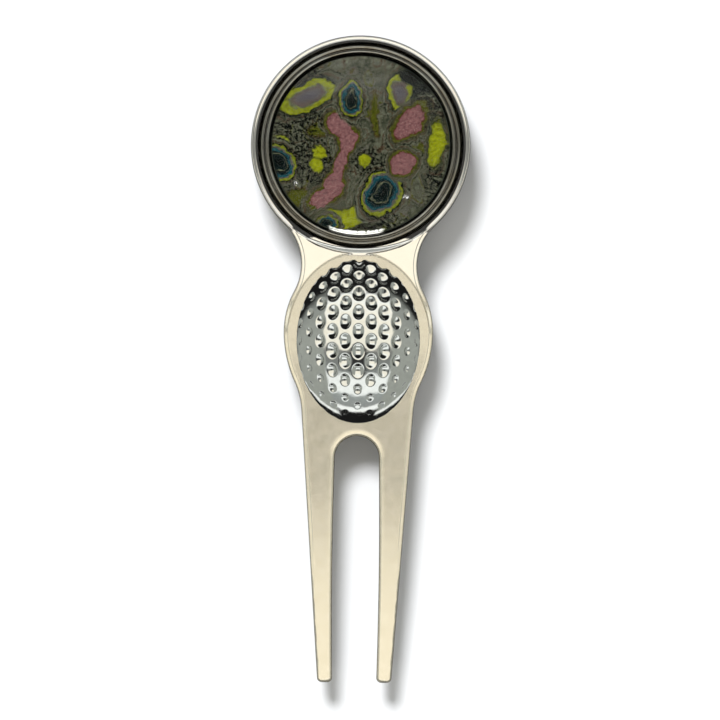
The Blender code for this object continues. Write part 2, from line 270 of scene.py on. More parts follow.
def distance_to(loop, points, closed=True):
    """Distance of each point to a loop's straight pieces."""
    starts = loop if closed else loop[:-1]
    ends = np.roll(loop, -1, axis=0) if closed else loop[1:]
    runs = ends - starts
    squared = np.maximum((runs**2).sum(1), 1e-12)
    nearest = np.empty(len(points))
    for first in range(0, len(points), 4000):
        part = points[first : first + 4000, None, :] - starts
        share = np.clip((part * runs).sum(2) / squared, 0.0, 1.0)
        gap = part - share[..., None] * runs
        nearest[first : first + 4000] = np.sqrt((gap**2).sum(2).min(1))
    return nearest


def inside(loop, points):
    """True for each point within a loop."""
    result = np.zeros(len(points), bool)
    ends = np.roll(loop, -1, axis=0)
    for first in range(0, len(points), 4000):
        x, y = points[first : first + 4000].T[:, :, None]
        crossing = (loop[:, 1] > y) != (ends[:, 1] > y)
        rise = np.where(ends[:, 1] == loop[:, 1], 1e-12, ends[:, 1] - loop[:, 1])
        at = loop[:, 0] + (y - loop[:, 1]) * (ends[:, 0] - loop[:, 0]) / rise
        result[first : first + 4000] = (crossing & (x < at)).sum(1) % 2 == 1
    return result


def within(loop, points, margin):
    """The points that lie in a loop, and further than margin from it."""
    points = points[inside(loop, points)]
    return points[distance_to(loop, points) > margin]


def outside_of(loop, points, margin):
    points = points[~inside(loop, points)]
    return points[distance_to(loop, points) > margin]


def honeycomb(low, high, step, stretch=1.0):
    """Points on a triangular grid over a rectangle. stretch is the pitch along Y over that along X."""
    rows = np.arange(low[1], high[1], step * stretch * math.sqrt(0.75))
    columns = np.arange(low[0], high[0], step)
    x, y = np.meshgrid(columns, rows)
    x[1::2] += step / 2
    return np.stack([x.ravel(), y.ravel()], axis=1)


def circle(radius, steps=TURNED_STEPS):
    angles = np.linspace(0.0, 2 * math.pi, steps, endpoint=False)
    return np.stack([radius * np.cos(angles), radius * np.sin(angles)], axis=1)


class Shell:
    """Points and faces of one mesh, with a material number for each face."""

    def __init__(self):
        self.points = []
        self.faces = []
        self.slots = []

    def add(self, flat, heights):
        """Adds points from their plan and heights, and returns their numbers."""
        first = len(self.points)
        heights = np.broadcast_to(heights, len(flat))
        self.points.extend((x, y, z) for (x, y), z in zip(flat, heights))
        return np.arange(first, len(self.points))

    def strip(self, upper, lower, slot):
        """Quads between two loops with as many points. They face out, or in where upper is the lower loop."""
        for a, b, c, d in zip(upper, lower, np.roll(lower, -1), np.roll(upper, -1)):
            self.faces.append((a, b, c, d))
        self.slots.extend([slot] * len(upper))

    def fan(self, centre, loop, slot):
        self.faces.extend((centre, a, b) for a, b in zip(loop, np.roll(loop, -1)))
        self.slots.extend([slot] * len(loop))

    def fill(self, loops, inner, keep, slot, face_down=False):
        """Triangles between loops and inner points, each given as (plan, numbers), where keep allows it."""
        parts = loops + [inner]
        plan = np.vstack([flat for flat, _ in parts])
        numbers = np.concatenate([n for _, n in parts])
        edges = []
        first = 0
        for flat, _ in loops:
            count = len(flat)
            edges += [(first + i, first + (i + 1) % count) for i in range(count)]
            first += count
        made = delaunay_2d_cdt([Vector(p) for p in plan], edges, [], 0, 1e-7)
        where = np.array(made[0])
        source = np.array([origins[0] if origins else -1 for origins in made[3]])
        triangles = np.array(made[2])
        corners = where[triangles]
        turn = np.cross(corners[:, 1] - corners[:, 0], corners[:, 2] - corners[:, 0])
        triangles[turn < 0] = triangles[turn < 0][:, ::-1]
        triangles = triangles[(np.abs(turn) > 1e-9) & keep(corners.mean(1))]
        if (source[triangles] < 0).any():
            raise ValueError("two loops cross")
        if face_down:
            triangles = triangles[:, ::-1]
        self.faces.extend(map(tuple, numbers[source[triangles]]))
        self.slots.extend([slot] * len(triangles))

    def build(self, name, materials, sharp_deg=38.0):
        mesh = bpy.data.meshes.new(name)
        points = [tuple(c * MM for c in point) for point in self.points]
        mesh.from_pydata(points, [], [tuple(map(int, face)) for face in self.faces])
        for material in materials:
            mesh.materials.append(material)
        mesh.polygons.foreach_set("material_index", self.slots)
        mesh.shade_smooth()
        mesh.set_sharp_from_angle(angle=math.radians(sharp_deg))
        mesh.update()
        obj = bpy.data.objects.new(name, mesh)
        bpy.context.scene.collection.objects.link(obj)
        return obj


def turned(name, profile, material, sharp_deg=38.0):
    """A closed solid turned round the Z axis from (radius, height) points, top centre to base centre."""
    shell = Shell()
    plan = circle(1.0)
    top = shell.add([(0.0, 0.0)], profile[0][1])[0]
    loops = [shell.add(plan * radius, height) for radius, height in profile[1:-1]]
    base = shell.add([(0.0, 0.0)], profile[-1][1])[0]
    shell.fan(top, loops[0], 0)
    for upper, lower in zip(loops, loops[1:]):
        shell.strip(upper, lower, 0)
    shell.fan(base, loops[-1][::-1], 0)
    return shell.build(name, [material], sharp_deg)


# ---------------------------------------------------------------- the casting's surface


def height_along(y, top, slopes):
    """Height of a surface that passes through top, from the slopes it has along the tool."""
    places, rises = np.array(slopes).T
    steps = np.linspace(places[0], places[-1], 2000)
    rise = np.interp(steps, places, rises)
    rise = np.convolve(np.pad(rise, 30, "edge"), np.ones(61) / 61, "valid")
    heights = np.concatenate([[0.0], np.cumsum((rise[1:] + rise[:-1]) / 2 * np.diff(steps))])
    return np.interp(y, steps, heights) - np.interp(top[0], steps, heights) + top[1]


def head_ring(radius):
    """Height of the polished ring round the marker: it climbs to a crest and rolls over outside it."""
    inner = quarter_round(radius - RECESS_R, RING_INNER_ROUND)
    edge = HEAD_R - DRAFT
    outer = quarter_round(edge - radius, RING_OUTER_ROUND)
    below = RING_CREST_R - radius
    climb = RING_SLOPE * (smooth_max(below, 0.0, RING_CREST_BEND) - RING_CREST_BEND / 2)
    return LIP_Z - climb - inner - outer - RING_SKIRT_SLOPE * np.clip(radius - edge, 0.0, None)


def beyond_ellipse(x, y, half_w, half_l):
    """Distance beyond an ellipse round the cup's centre, along the line from that centre."""
    away = np.hypot(x, y - CUP_Y)
    share = np.hypot(x / half_w, (y - CUP_Y) / half_l)
    return away * (1.0 - 1.0 / np.maximum(share, 1e-6))


def edge_drop(to_edge, to_slot, y):
    """How far the face has dropped at its edges: a ledge and a round outside, a larger round in the slot."""
    outside = smoothstep(*SLOT_SIDE, to_slot)
    fade = outside * smoothstep(*LEDGE_END, y)
    past = LEDGE_W - to_edge
    ledge = LEDGE_SLOPE * smooth_max(past, 0.0, LEDGE_BEND)
    ledge = ledge + LEDGE_STEP * smoothstep(0.0, LEDGE_STEP_W, past + LEDGE_STEP_W / 2)
    tight = quarter_round(to_edge, ROUND_R)
    wide = quarter_round(to_edge, SLOT_ROUND_R)
    width = CHAMFER_W + sum(size * np.sin(pitch * y) for size, pitch in CHAMFER_WAVES)
    chamfer = CHAMFER_SLOPE * (smooth_max(width - to_edge, 0.0, CHAMFER_BEND) - CHAMFER_BEND / 2)
    chamfer = np.maximum(chamfer, 0.0) * outside * (1.0 - smoothstep(*CHAMFER_START, y))
    return fade * ledge + outside * tight + (1.0 - outside) * wide + chamfer


def face_height(x, y, to_edge, to_slot):
    """Height of the casting's face, from the distances to its whole outline and to the slot."""
    level = height_along(y, FACE_TOP, FACE_SLOPES)
    land = np.minimum(height_along(y, LAND_TOP, LAND_SLOPES), level)
    land = level + (land - level) * smoothstep(*LAND_START, y)
    beyond = beyond_ellipse(x, y, BAND_HALF_W, BAND_HALF_L)
    body = land + (level - land) * (1.0 - smoothstep(*BAND_EDGE, beyond))
    body = np.minimum(body, LIP_Z - FACE_BELOW_LIP)
    body = body - HALO_DROP * (1.0 - smoothstep(0.0, HALO_W, to_slot)) ** 2
    body = body - edge_drop(to_edge, to_slot, y)
    return smooth_max(head_ring(np.hypot(x, y)), body, RING_FILLET)


def back_height(y, to_edge):
    """Height of the casting's back, which is flat and then rises a little to the tips."""
    rise = BACK_RISE * np.clip((BACK_RISE_Y - y) / (BACK_RISE_Y - TIP_Y), 0.0, 1.0) ** 1.5
    return rise + quarter_round(to_edge, BACK_R)


def cup_ball():
    """Half axes of the ball whose lower cap is the cup, and its centre with the rim at height 0."""
    rim_sin = math.sqrt(1.0 - CUP_RIM_COS**2)
    height = CUP_DEPTH / (1.0 - CUP_RIM_COS)
    axes = np.array([CUP_HALF_W / rim_sin, CUP_HALF_L / rim_sin, height])
    return axes, np.array([0.0, CUP_Y, CUP_RIM_COS * height])


def ball_directions(flat):
    """Directions from the ball's centre. A plan coordinate's length is its angle from straight down."""
    angle = np.hypot(flat[:, 0], flat[:, 1])
    share = np.where(angle > 1e-9, np.sin(angle) / np.maximum(angle, 1e-9), 1.0)
    return np.stack([flat[:, 0] * share, flat[:, 1] * share, -np.cos(angle)], axis=1)


def nearest_bump(flat):
    """Plan coordinates of the honeycomb's bump nearest to each point."""
    column_pitch = BUMP_PITCH * math.sin(math.radians(60.0))
    column = np.round(flat[:, 0] / column_pitch)
    best = None
    for step in (-1, 0, 1):
        near = column + step
        shift = np.where(near % 2 == 0, 0.5, 0.0)
        row = np.round(flat[:, 1] / BUMP_PITCH - shift)
        bump = np.stack([near * column_pitch, (row + shift) * BUMP_PITCH], axis=1)
        gap = ((bump - flat) ** 2).sum(1)
        if best is None:
            best, least = bump, gap
        else:
            closer = gap < least
            best = np.where(closer[:, None], bump, best)
            least = np.where(closer, gap, least)
    return best


def cup_points(flat):
    """Places on the cup's bumpy wall, whose rim lies along the sloping face."""
    axes, centre = cup_ball()
    directions = ball_directions(flat)
    bumps = nearest_bump(flat)
    cosine = np.clip((directions * ball_directions(bumps)).sum(1), -1.0, 1.0)
    stretch = np.where(bumps[:, 1] < 0.0, *BUMP_STRETCH)
    shrink = smoothstep(*BUMP_SHRINK, np.hypot(bumps[:, 0], stretch * bumps[:, 1]))
    dome = 1.0 - (np.arccos(cosine) / (BUMP_ANGLE * (1.0 - BUMP_NARROWER * shrink))) ** 2
    angle = np.hypot(flat[:, 0], flat[:, 1])
    down = np.clip(-flat[:, 1] / np.maximum(angle, 1e-6), 0.0, 1.0) ** 2
    start = BUMP_FADE - BUMP_FADE_EARLY * down
    gone = (BUMP_GONE[0] + BUMP_GONE[1] * down) * smoothstep(0.0, BUMP_FADE_W, angle - start)
    fade = (1.0 - BUMP_LOWER * shrink) * (1.0 - gone)
    rise = fade * BUMP_RISE * smooth_max(dome, 0.0, BUMP_FOOT)
    places = centre + directions * axes * (1.0 - rise)[:, None]
    level = 1.0 - (directions[:, 0] ** 2 + directions[:, 1] ** 2) / (1.0 - CUP_RIM_COS**2)
    ends = np.array([CUP_Y - CUP_HALF_L, CUP_Y + CUP_HALF_L])
    low, high = height_along(ends, FACE_TOP, FACE_SLOPES)
    tilt = (high - low) / (2.0 * CUP_HALF_L)
    places[:, 2] += CUP_SKEW * directions[:, 1] * level + (low + high) / 2 + tilt * (places[:, 1] - CUP_Y)
    return places


def cup_rim():
    """The cup's edge, where its bumpy wall meets the face: plan coordinates and places."""
    angles = np.linspace(0.0, 2 * math.pi, RIM_STEPS, endpoint=False)
    along = np.stack([np.cos(angles), np.sin(angles)], axis=1)
    low = np.full(RIM_STEPS, 0.7)
    high = np.full(RIM_STEPS, 1.3)
    for _ in range(40):
        middle = (low + high) / 2
        places = cup_points(along * middle[:, None])
        far = np.full(RIM_STEPS, FAR)
        face = face_height(places[:, 0], places[:, 1], far, far)
        above = places[:, 2] > face - RIM_ROUND
        high = np.where(above, middle, high)
        low = np.where(above, low, middle)
    flat = along * low[:, None]
    return flat, cup_points(flat)


def build_cup(shell, slot):
    """Adds the cup's wall and returns its edge as (plan, numbers)."""
    flat, places = cup_rim()
    edge = shell.add(places[:, :2], places[:, 2])
    axes, _ = cup_ball()
    inner = honeycomb((-1.2, -1.2), (1.2, 1.2), CUP_STEP, axes[0] / axes[1])
    inner = within(flat, inner, 0.6 * CUP_STEP)
    spots = cup_points(inner)
    numbers = shell.add(spots[:, :2], spots[:, 2])
    shell.fill([(flat, edge)], (inner, numbers), lambda c: inside(flat, c), slot)
    return places[:, :2], edge


def build_recess(shell, slot):
    """Adds the marker's recess and the magnet's pocket, and returns the recess's mouth as (plan, numbers)."""
    levels = [
        (RECESS_R, float(head_ring(RECESS_R))),
        (RECESS_R, RECESS_FLOOR_Z + 0.25),
        (RECESS_R - 0.07, RECESS_FLOOR_Z + 0.07),
        (RECESS_R - 0.25, RECESS_FLOOR_Z),
        (POCKET_R + 0.15, RECESS_FLOOR_Z),
        (POCKET_R, RECESS_FLOOR_Z - 0.15),
        (POCKET_R, POCKET_FLOOR_Z),
    ]
    loops = [shell.add(circle(radius), height) for radius, height in levels]
    for upper, lower in zip(loops, loops[1:]):
        shell.strip(lower[::-1], upper[::-1], slot)
    shell.fan(shell.add([(0.0, 0.0)], POCKET_FLOOR_Z)[0], loops[-1], slot)
    return circle(RECESS_R), loops[0]


def extra_points(loop):
    """Rings of points where the face bends, round the head's ring and over the top of the cup's band."""
    points = [circle(RECESS_R + step) for step in np.arange(0.02, 0.27, 0.05)]
    points += [circle(radius, 340) for radius in np.arange(RECESS_R + 0.3, HEAD_R + 0.45, BEND_STEP)]
    points = np.vstack(points)
    turn = np.linspace(0.0, math.pi, 260)
    for step in np.arange(-0.24, 0.42, BEND_STEP):
        x = (BAND_HALF_W + step) * np.cos(turn)
        y = CUP_Y + (BAND_HALF_L + step) * np.sin(turn)
        band = np.stack([x, y], axis=1)
        points = np.vstack([points, band[np.hypot(x, y) > HEAD_R + 0.47]])
    return within(loop, points, EDGE_RINGS[-1] + 0.03)


def build_body(materials):
    """The casting as one closed mesh."""
    outline, normals, in_slot = whole_outline()
    slot_part = outline[in_slot]
    shell = Shell()
    cup_plan, cup_edge = build_cup(shell, 1)
    mouth_plan, mouth = build_recess(shell, 2)

    top = outline - normals * DRAFT

    def lift(points):
        to_slot = distance_to(slot_part, points, closed=False)
        return face_height(points[:, 0], points[:, 1], distance_to(top, points), to_slot)

    edges = [top - normals * depth for depth in EDGE_RINGS]
    heights = [lift(ring) for ring in edges]
    ring_numbers = [shell.add(ring, height) for ring, height in zip(edges, heights)]
    for outer, inner in zip(ring_numbers, ring_numbers[1:]):
        shell.strip(inner, outer, 0)

    # The face's inner points, thinned out near rings that are already there.
    outward = cup_plan - np.array([0.0, CUP_Y])
    outward /= np.linalg.norm(outward, axis=1)[:, None]
    collars = [cup_plan + outward * step for step in (RIM_ROUND, 0.12, 0.22)]
    bends = outside_of(collars[-1], extra_points(top), 0.05)
    placed = within(edges[-1], np.vstack(collars + [bends]), 0.015)
    grid = within(edges[-1], honeycomb(outline.min(0), outline.max(0), FACE_STEP), 0.08)
    grid = grid[np.hypot(grid[:, 0], grid[:, 1]) > HEAD_R + 0.5]
    grid = outside_of(collars[-1], grid, 0.09)
    beyond_band = beyond_ellipse(grid[:, 0], grid[:, 1], BAND_HALF_W, BAND_HALF_L)
    grid = grid[(np.abs(beyond_band - 0.08) > 0.4) | (grid[:, 1] < CUP_Y)]
    inner = np.vstack([placed, grid])
    numbers = shell.add(inner, lift(inner))

    def on_face(centres):
        return inside(edges[-1], centres) & ~inside(cup_plan, centres) & ~inside(mouth_plan, centres)

    loops = [(edges[-1], ring_numbers[-1]), (cup_plan, cup_edge), (mouth_plan, mouth)]
    shell.fill(loops, (inner, numbers), on_face, 0)

    # The wall bulges to its parting line, then the back's rounded edge and the back.
    low_edge = outline - normals * DRAFT
    low_height = back_height(low_edge[:, 1], np.zeros(len(low_edge)))
    wall = [ring_numbers[0]]
    for step in range(1, WALL_STEPS):
        share = step / WALL_STEPS
        inset = DRAFT * abs(2.0 * share - 1.0)
        level = heights[0] + (low_height - heights[0]) * share
        wall.append(shell.add(outline - normals * inset, level))
    backs = [low_edge - normals * depth for depth in BACK_RINGS]
    for ring, depth in zip(backs, BACK_RINGS):
        wall.append(shell.add(ring, back_height(ring[:, 1], np.full(len(ring), depth))))
    for upper, lower in zip(wall, wall[1:]):
        shell.strip(upper, lower, 0)
    grid = within(backs[-1], honeycomb(outline.min(0), outline.max(0), 2.5 * FACE_STEP), 0.2)
    numbers = shell.add(grid, back_height(grid[:, 1], np.full(len(grid), FAR)))
    last = (backs[-1], wall[-1])
    shell.fill([last], (grid, numbers), lambda c: inside(backs[-1], c), 0, face_down=True)

    body = shell.build("casting", materials)
    polish = body.data.attributes.new("polish", "FLOAT", "POINT")
    points = np.array(shell.points)
    radius = np.hypot(points[:, 0], points[:, 1])
    ring = 1.0 - smoothstep(*RING_POLISH_END, radius)
    beyond_band = beyond_ellipse(points[:, 0], points[:, 1], BAND_HALF_W, BAND_HALF_L)
    neck = NECK_POLISH * smoothstep(*NECK_POLISH_Y, points[:, 1])
    neck = neck * smoothstep(*NECK_POLISH_START, beyond_band)
    front = smoothstep(*POLISH_FROM, points[:, 2])
    polish.data.foreach_set("value", (np.maximum(ring, neck) * front).astype(np.float32))
    return body


# ---------------------------------------------------------------- materials


class Nodes:
    """A node tree, with short calls for the nodes that this script uses."""

    def __init__(self, tree):
        self.tree = tree

    def node(self, kind, **inputs):
        """A new shader node, whose inputs are linked to outputs or set to plain values."""
        node = self.tree.nodes.new("ShaderNode" + kind)
        for name, value in inputs.items():
            self.feed(node.inputs[name.replace("_", " ")], value)
        return node

    def link(self, source, target):
        self.tree.links.new(source, target)

    def feed(self, socket, value):
        if isinstance(value, bpy.types.NodeSocket):
            self.link(value, socket)
        else:
            socket.default_value = value

    def scaled(self, vector, scale, move=(0.0, 0.0, 0.0)):
        return self.node("Mapping", Vector=vector, Scale=scale, Location=move).outputs[0]

    def noise(self, vector, scale, detail=3.0, roughness=0.5, output="Fac"):
        node = self.node("TexNoise", Vector=vector, Scale=scale, Detail=detail, Roughness=roughness)
        return node.outputs[output]

    def math(self, operation, a, b=0.0, c=0.0):
        node = self.node("Math")
        node.operation = operation
        for socket, value in zip(node.inputs, (a, b, c)):
            self.feed(socket, value)
        return node.outputs[0]

    def times(self, a, b):
        return self.math("MULTIPLY", a, b)

    def plus(self, a, b):
        return self.math("ADD", a, b)

    def minus(self, a, b):
        return self.math("SUBTRACT", a, b)

    def vector(self, operation, a, b=(0.0, 0.0, 0.0)):
        node = self.node("VectorMath")
        node.operation = operation
        self.feed(node.inputs[0], a)
        self.feed(node.inputs[1], b)
        return node.outputs["Value" if operation == "LENGTH" else "Vector"]

    def remap(self, value, low, high, to_low=0.0, to_high=1.0):
        node = self.node("MapRange", Value=value, From_Min=low, From_Max=high, To_Min=to_low, To_Max=to_high)
        node.interpolation_type = "SMOOTHSTEP"
        return node.outputs["Result"]

    def ramp(self, value, stops):
        node = self.node("ValToRGB", Fac=value)
        elements = node.color_ramp.elements
        while len(elements) < len(stops):
            elements.new(0.5)
        for element, (place, colour) in zip(elements, stops):
            element.position = place
            element.color = colour if len(colour) == 4 else (*colour, 1.0)
        return node.outputs

    def mix(self, share, a, b, blend="MIX"):
        node = self.node("Mix")
        node.data_type = "RGBA"
        node.blend_type = blend
        self.feed(node.inputs["Factor"], share)
        for socket, colour in ((node.inputs[6], a), (node.inputs[7], b)):
            self.feed(socket, (*colour, 1.0) if isinstance(colour, tuple) else colour)
        return node.outputs[2]

    def separate(self, vector):
        return self.node("SeparateXYZ", Vector=vector).outputs

    def bump(self, height, strength, distance_mm, below=None):
        node = self.node("Bump", Height=height, Strength=strength, Distance=distance_mm * MM)
        if below is not None:
            self.link(below, node.inputs["Normal"])
        return node.outputs["Normal"]


class Paint(Nodes):
    """A material, whose place is the point's coordinates in millimetres."""

    def __init__(self, name):
        self.material = bpy.data.materials.new(name)
        self.material.use_nodes = True
        super().__init__(self.material.node_tree)
        self.shader = self.tree.nodes["Principled BSDF"]
        self.surface = self.tree.nodes["Material Output"].inputs["Surface"]
        self.place = self.scaled(self.node("TexCoord").outputs["Object"], (1.0 / MM,) * 3)

    def set(self, **values):
        for name, value in values.items():
            self.feed(self.shader.inputs[name.replace("_", " ")], value)

    def layer(self, share, below, above):
        """A mix of two shaders, in which share belongs to the second, as the material's surface."""
        mixer = self.node("MixShader")
        for socket, value in zip(mixer.inputs, (share, below, above)):
            self.link(value, socket)
        self.link(mixer.outputs[0], self.surface)


SATIN_MATT = 0.18  # how matt the satin is, so that it isn't black where it reflects a dark wall
SATIN_TINTS = [(0.3, (0.67, 0.625, 0.50)), (0.7, (0.72, 0.675, 0.555))]
RING_TINT = (0.80, 0.79, 0.75)


def satin_nickel():
    """Brushed satin plate: fine strokes along the tool, a soft mottle, and a polished head ring."""
    paint = Paint("satin_nickel_plate")
    attribute = paint.node("Attribute")
    attribute.attribute_name = "polish"
    polish = attribute.outputs["Fac"]
    satin = paint.minus(1.0, polish)
    mottle = paint.noise(paint.place, 0.9, 4.0, 0.6)
    strokes = paint.noise(paint.scaled(paint.place, (8.0, 0.5, 8.0)), 1.0, 3.0, 0.65)
    grain = paint.noise(paint.place, 7.0, 2.0, 0.5)
    uneven = paint.plus(paint.times(mottle, 0.06), paint.times(strokes, 0.06))
    rough = paint.times(paint.plus(uneven, 0.16), satin)
    calm = paint.minus(1.0, paint.times(polish, 0.75))
    height = paint.times(paint.plus(strokes, paint.times(grain, 0.6)), calm)
    wave = paint.times(paint.noise(paint.place, 0.35, 1.0), calm)
    paint.set(
        Metallic=paint.minus(1.0, paint.times(satin, SATIN_MATT)),
        Base_Color=paint.mix(polish, paint.ramp(mottle, SATIN_TINTS)[0], RING_TINT),
        Roughness=paint.plus(rough, paint.times(polish, 0.10)),
        Normal=paint.bump(height, 0.25, 0.008, paint.bump(wave, 0.2, 0.06)),
    )
    return paint.material


def bright_plate(name, base, roughness=0.05):
    """Bright plate, as it leaves the bath: almost a mirror, with a faint ripple and haze."""
    paint = Paint(name)
    haze = paint.noise(paint.place, 1.6, 4.0, 0.6)
    dark = tuple(c * 0.93 for c in base)
    paint.set(
        Metallic=1.0,
        Base_Color=paint.ramp(haze, [(0.35, dark), (0.65, base)])[0],
        Roughness=paint.remap(haze, 0.3, 0.75, roughness, roughness + 0.05),
        Normal=paint.bump(paint.noise(paint.place, 1.3, 2.0), 0.25, 0.03),
    )
    return paint.material


def turned_plate():
    """Polished tray, with lathe lines that run round it and a brownish aged tint."""
    paint = Paint("turned_nickel")
    x, y, z = paint.separate(paint.place)
    radius = paint.math("SQRT", paint.plus(paint.times(x, x), paint.times(y, y)))
    lines = paint.noise(paint.node("CombineXYZ", X=radius, Y=z).outputs[0], 9.0, 3.0, 0.6)
    age = paint.noise(paint.place, 0.32, 3.0, 0.6)
    paint.set(
        Metallic=1.0,
        Base_Color=paint.ramp(age, [(0.35, (0.36, 0.36, 0.33)), (0.65, (0.27, 0.25, 0.20))])[0],
        Roughness=paint.remap(lines, 0.3, 0.7, 0.08, 0.22),
        Normal=paint.bump(lines, 0.5, 0.02),
    )
    return paint.material


def clear_glass():
    """Clear dome. Its reflections are weak, as if the room above it were dark.

    Rays from lamps and matt surfaces go straight through it, so that what lies under it is lit evenly.
    """
    paint = Paint("clear_dome")
    paint.set(Base_Color=(0.97, 0.98, 0.96, 1.0), IOR=1.5, Transmission_Weight=1.0)
    paint.set(Specular_Tint=(0.07, 0.07, 0.07, 1.0), Coat_Weight=1.0, Coat_IOR=1.1, Coat_Roughness=0.06)
    smear = paint.noise(paint.place, 0.4, 3.0, 0.6)
    ripple = paint.noise(paint.place, 0.25, 1.0)
    paint.set(Roughness=paint.remap(smear, 0.35, 0.8, 0.0, 0.02), Normal=paint.bump(ripple, 0.1, 0.05))
    path = paint.node("LightPath")
    for kind in ("Is Shadow Ray", "Is Diffuse Ray"):
        below = paint.surface.links[0].from_socket
        paint.layer(path.outputs[kind], below, paint.node("BsdfTransparent").outputs[0])
    return paint.material


def clear_film():
    """Bonding film under the dome. It's clear but for a thin pale layer near the head's top: a painted
    reflection of the room in the dome's upper part.
    """
    paint = Paint("bonding_film")
    paint.set(Base_Color=(0.80, 0.82, 0.80, 1.0), Roughness=0.6, Specular_IOR_Level=0.0)
    _, y, _ = paint.separate(paint.place)
    streak = paint.noise(paint.scaled(paint.place, (0.15, 0.6, 1.0)), 1.0, 2.0)
    patch = paint.remap(streak, 0.4, 0.7, 0.2, 1.0)
    # painted reflection: pale streaks over the upper part of the pattern
    cloud = paint.times(paint.remap(y, 4.0, 8.0), patch)
    clear = paint.node("BsdfTransparent").outputs[0]
    paint.layer(paint.times(cloud, PAINTED_REFLECTION_SHARE), clear, paint.shader.outputs[0])
    return paint.material


def painted_caustic_arc(paint):
    """Share of a ragged arc at the bottom of the marker, painted white: a painted highlight for light that
    the dome focuses onto its lower edge.
    """
    x, y, _ = paint.separate(paint.place)
    radius = paint.vector("LENGTH", paint.vector("MULTIPLY", paint.place, (1.0, 1.0, 0.0)))
    ragged = paint.noise(paint.place, 2.2, 3.0, 0.7)
    reach = paint.plus(radius, paint.times(ragged, 0.5))
    across = paint.math("ABSOLUTE", paint.plus(x, 0.4))
    ends = paint.remap(paint.plus(across, ragged), 3.4, 4.1, 1.0, 0.0)
    below = paint.times(paint.math("LESS_THAN", y, 0.0), ends)
    return paint.times(paint.remap(reach, 10.85, 10.95), below)


def black_bed():
    """Black bonding layer, with the painted white highlight in an arc at its bottom edge."""
    paint = Paint("black_bonding")
    speck = paint.noise(paint.place, 5.0, 2.0)
    dark = paint.ramp(speck, [(0.3, (0.006, 0.008, 0.006)), (0.8, (0.03, 0.034, 0.026))])[0]
    paint.set(
        Specular_IOR_Level=0.1,
        Base_Color=paint.mix(painted_caustic_arc(paint), dark, CAUSTIC_WHITE),
        Roughness=paint.remap(speck, 0.2, 0.8, 0.25, 0.45),
        Normal=paint.bump(speck, 0.3, 0.02),
    )
    return paint.material


# share of the film's painted reflection
PAINTED_REFLECTION_SHARE = 0.012
INK = (0.0022, 0.0032, 0.0026)
# white of the painted highlight at the marker's lower edge
CAUSTIC_WHITE = (0.85, 0.85, 0.8)
GROUND = [
    (0.0, (0.075, 0.08, 0.062)),
    (0.1, (0.115, 0.12, 0.096)),
    (0.17, (0.125, 0.13, 0.104)),
    (0.19, (0.05, 0.03, 0.018)),
    (0.23, (0.085, 0.06, 0.045)),
    (0.25, (0.12, 0.125, 0.102)),
    (0.38, (0.1, 0.106, 0.084)),
    (0.4, INK),
    (0.42, (0.09, 0.096, 0.076)),
    (0.55, (0.13, 0.134, 0.11)),
    (0.58, (0.072, 0.08, 0.014)),
    (0.64, (0.08, 0.088, 0.02)),
    (0.66, (0.06, 0.034, 0.024)),
    (0.7, (0.118, 0.112, 0.104)),
    (0.84, (0.085, 0.09, 0.07)),
    (0.86, INK),
    (0.89, (0.06, 0.064, 0.05)),
    (1.0, (0.075, 0.08, 0.062)),
]
# Rings that run round a pool, outside its edge at 1.
HALO = [
    (1.05, (0.075, 0.08, 0.062)),
    (1.12, (0.07, 0.04, 0.028)),
    (1.16, (0.105, 0.112, 0.088)),
    (1.24, (0.125, 0.132, 0.105)),
    (1.26, INK),
    (1.29, INK),
    (1.31, (0.115, 0.12, 0.095, 0.8)),
    (1.4, (0.1, 0.105, 0.085, 0.0)),
]
PINK = [
    (0.0, (0.25, 0.118, 0.14)),
    (0.66, (0.23, 0.105, 0.125)),
    (0.72, (0.2, 0.08, 0.09)),
    (0.76, (0.075, 0.022, 0.016)),
    (0.8, (0.072, 0.078, 0.012)),
    (0.92, (0.085, 0.092, 0.022)),
    (0.95, (0.04, 0.03, 0.016, 0.9)),
    *HALO,
]
YELLOW = [
    (0.0, (0.3, 0.335, 0.012)),
    (0.6, (0.27, 0.3, 0.014)),
    (0.8, (0.215, 0.24, 0.02)),
    (0.88, INK),
    (0.92, (0.11, 0.12, 0.06)),
    (0.96, (0.03, 0.03, 0.018, 0.8)),
    *HALO,
]
EYE = [
    (0.0, INK),
    (0.38, (0.006, 0.014, 0.016)),
    (0.41, (0.19, 0.2, 0.14)),
    (0.45, INK),
    (0.55, (0.006, 0.02, 0.028)),
    (0.61, (0.014, 0.07, 0.105)),
    (0.69, (0.018, 0.085, 0.12)),
    (0.72, INK),
    (0.75, (0.13, 0.125, 0.12)),
    (0.82, (0.09, 0.085, 0.085)),
    (0.84, (0.18, 0.21, 0.02)),
    (0.92, (0.2, 0.23, 0.018)),
    (0.95, INK),
    (0.98, INK),
    *HALO,
]
BLACK = [
    (0.0, INK),
    (0.8, (0.008, 0.012, 0.01)),
    (1.0, (0.02, 0.025, 0.02, 0.0)),
]
OLIVE = [
    (0.0, (0.085, 0.098, 0.01)),
    (0.7, (0.075, 0.08, 0.014)),
    (0.85, (0.06, 0.04, 0.018)),
    (1.0, (0.08, 0.08, 0.06, 0.0)),
]
MAUVE = [
    (0.0, (0.085, 0.08, 0.115)),
    (0.35, (0.105, 0.096, 0.118)),
    (0.48, (0.1, 0.072, 0.07)),
    (0.58, (0.12, 0.128, 0.09)),
    (0.66, (0.215, 0.24, 0.02)),
    (0.86, (0.25, 0.285, 0.014)),
    (0.92, INK),
    *HALO,
]
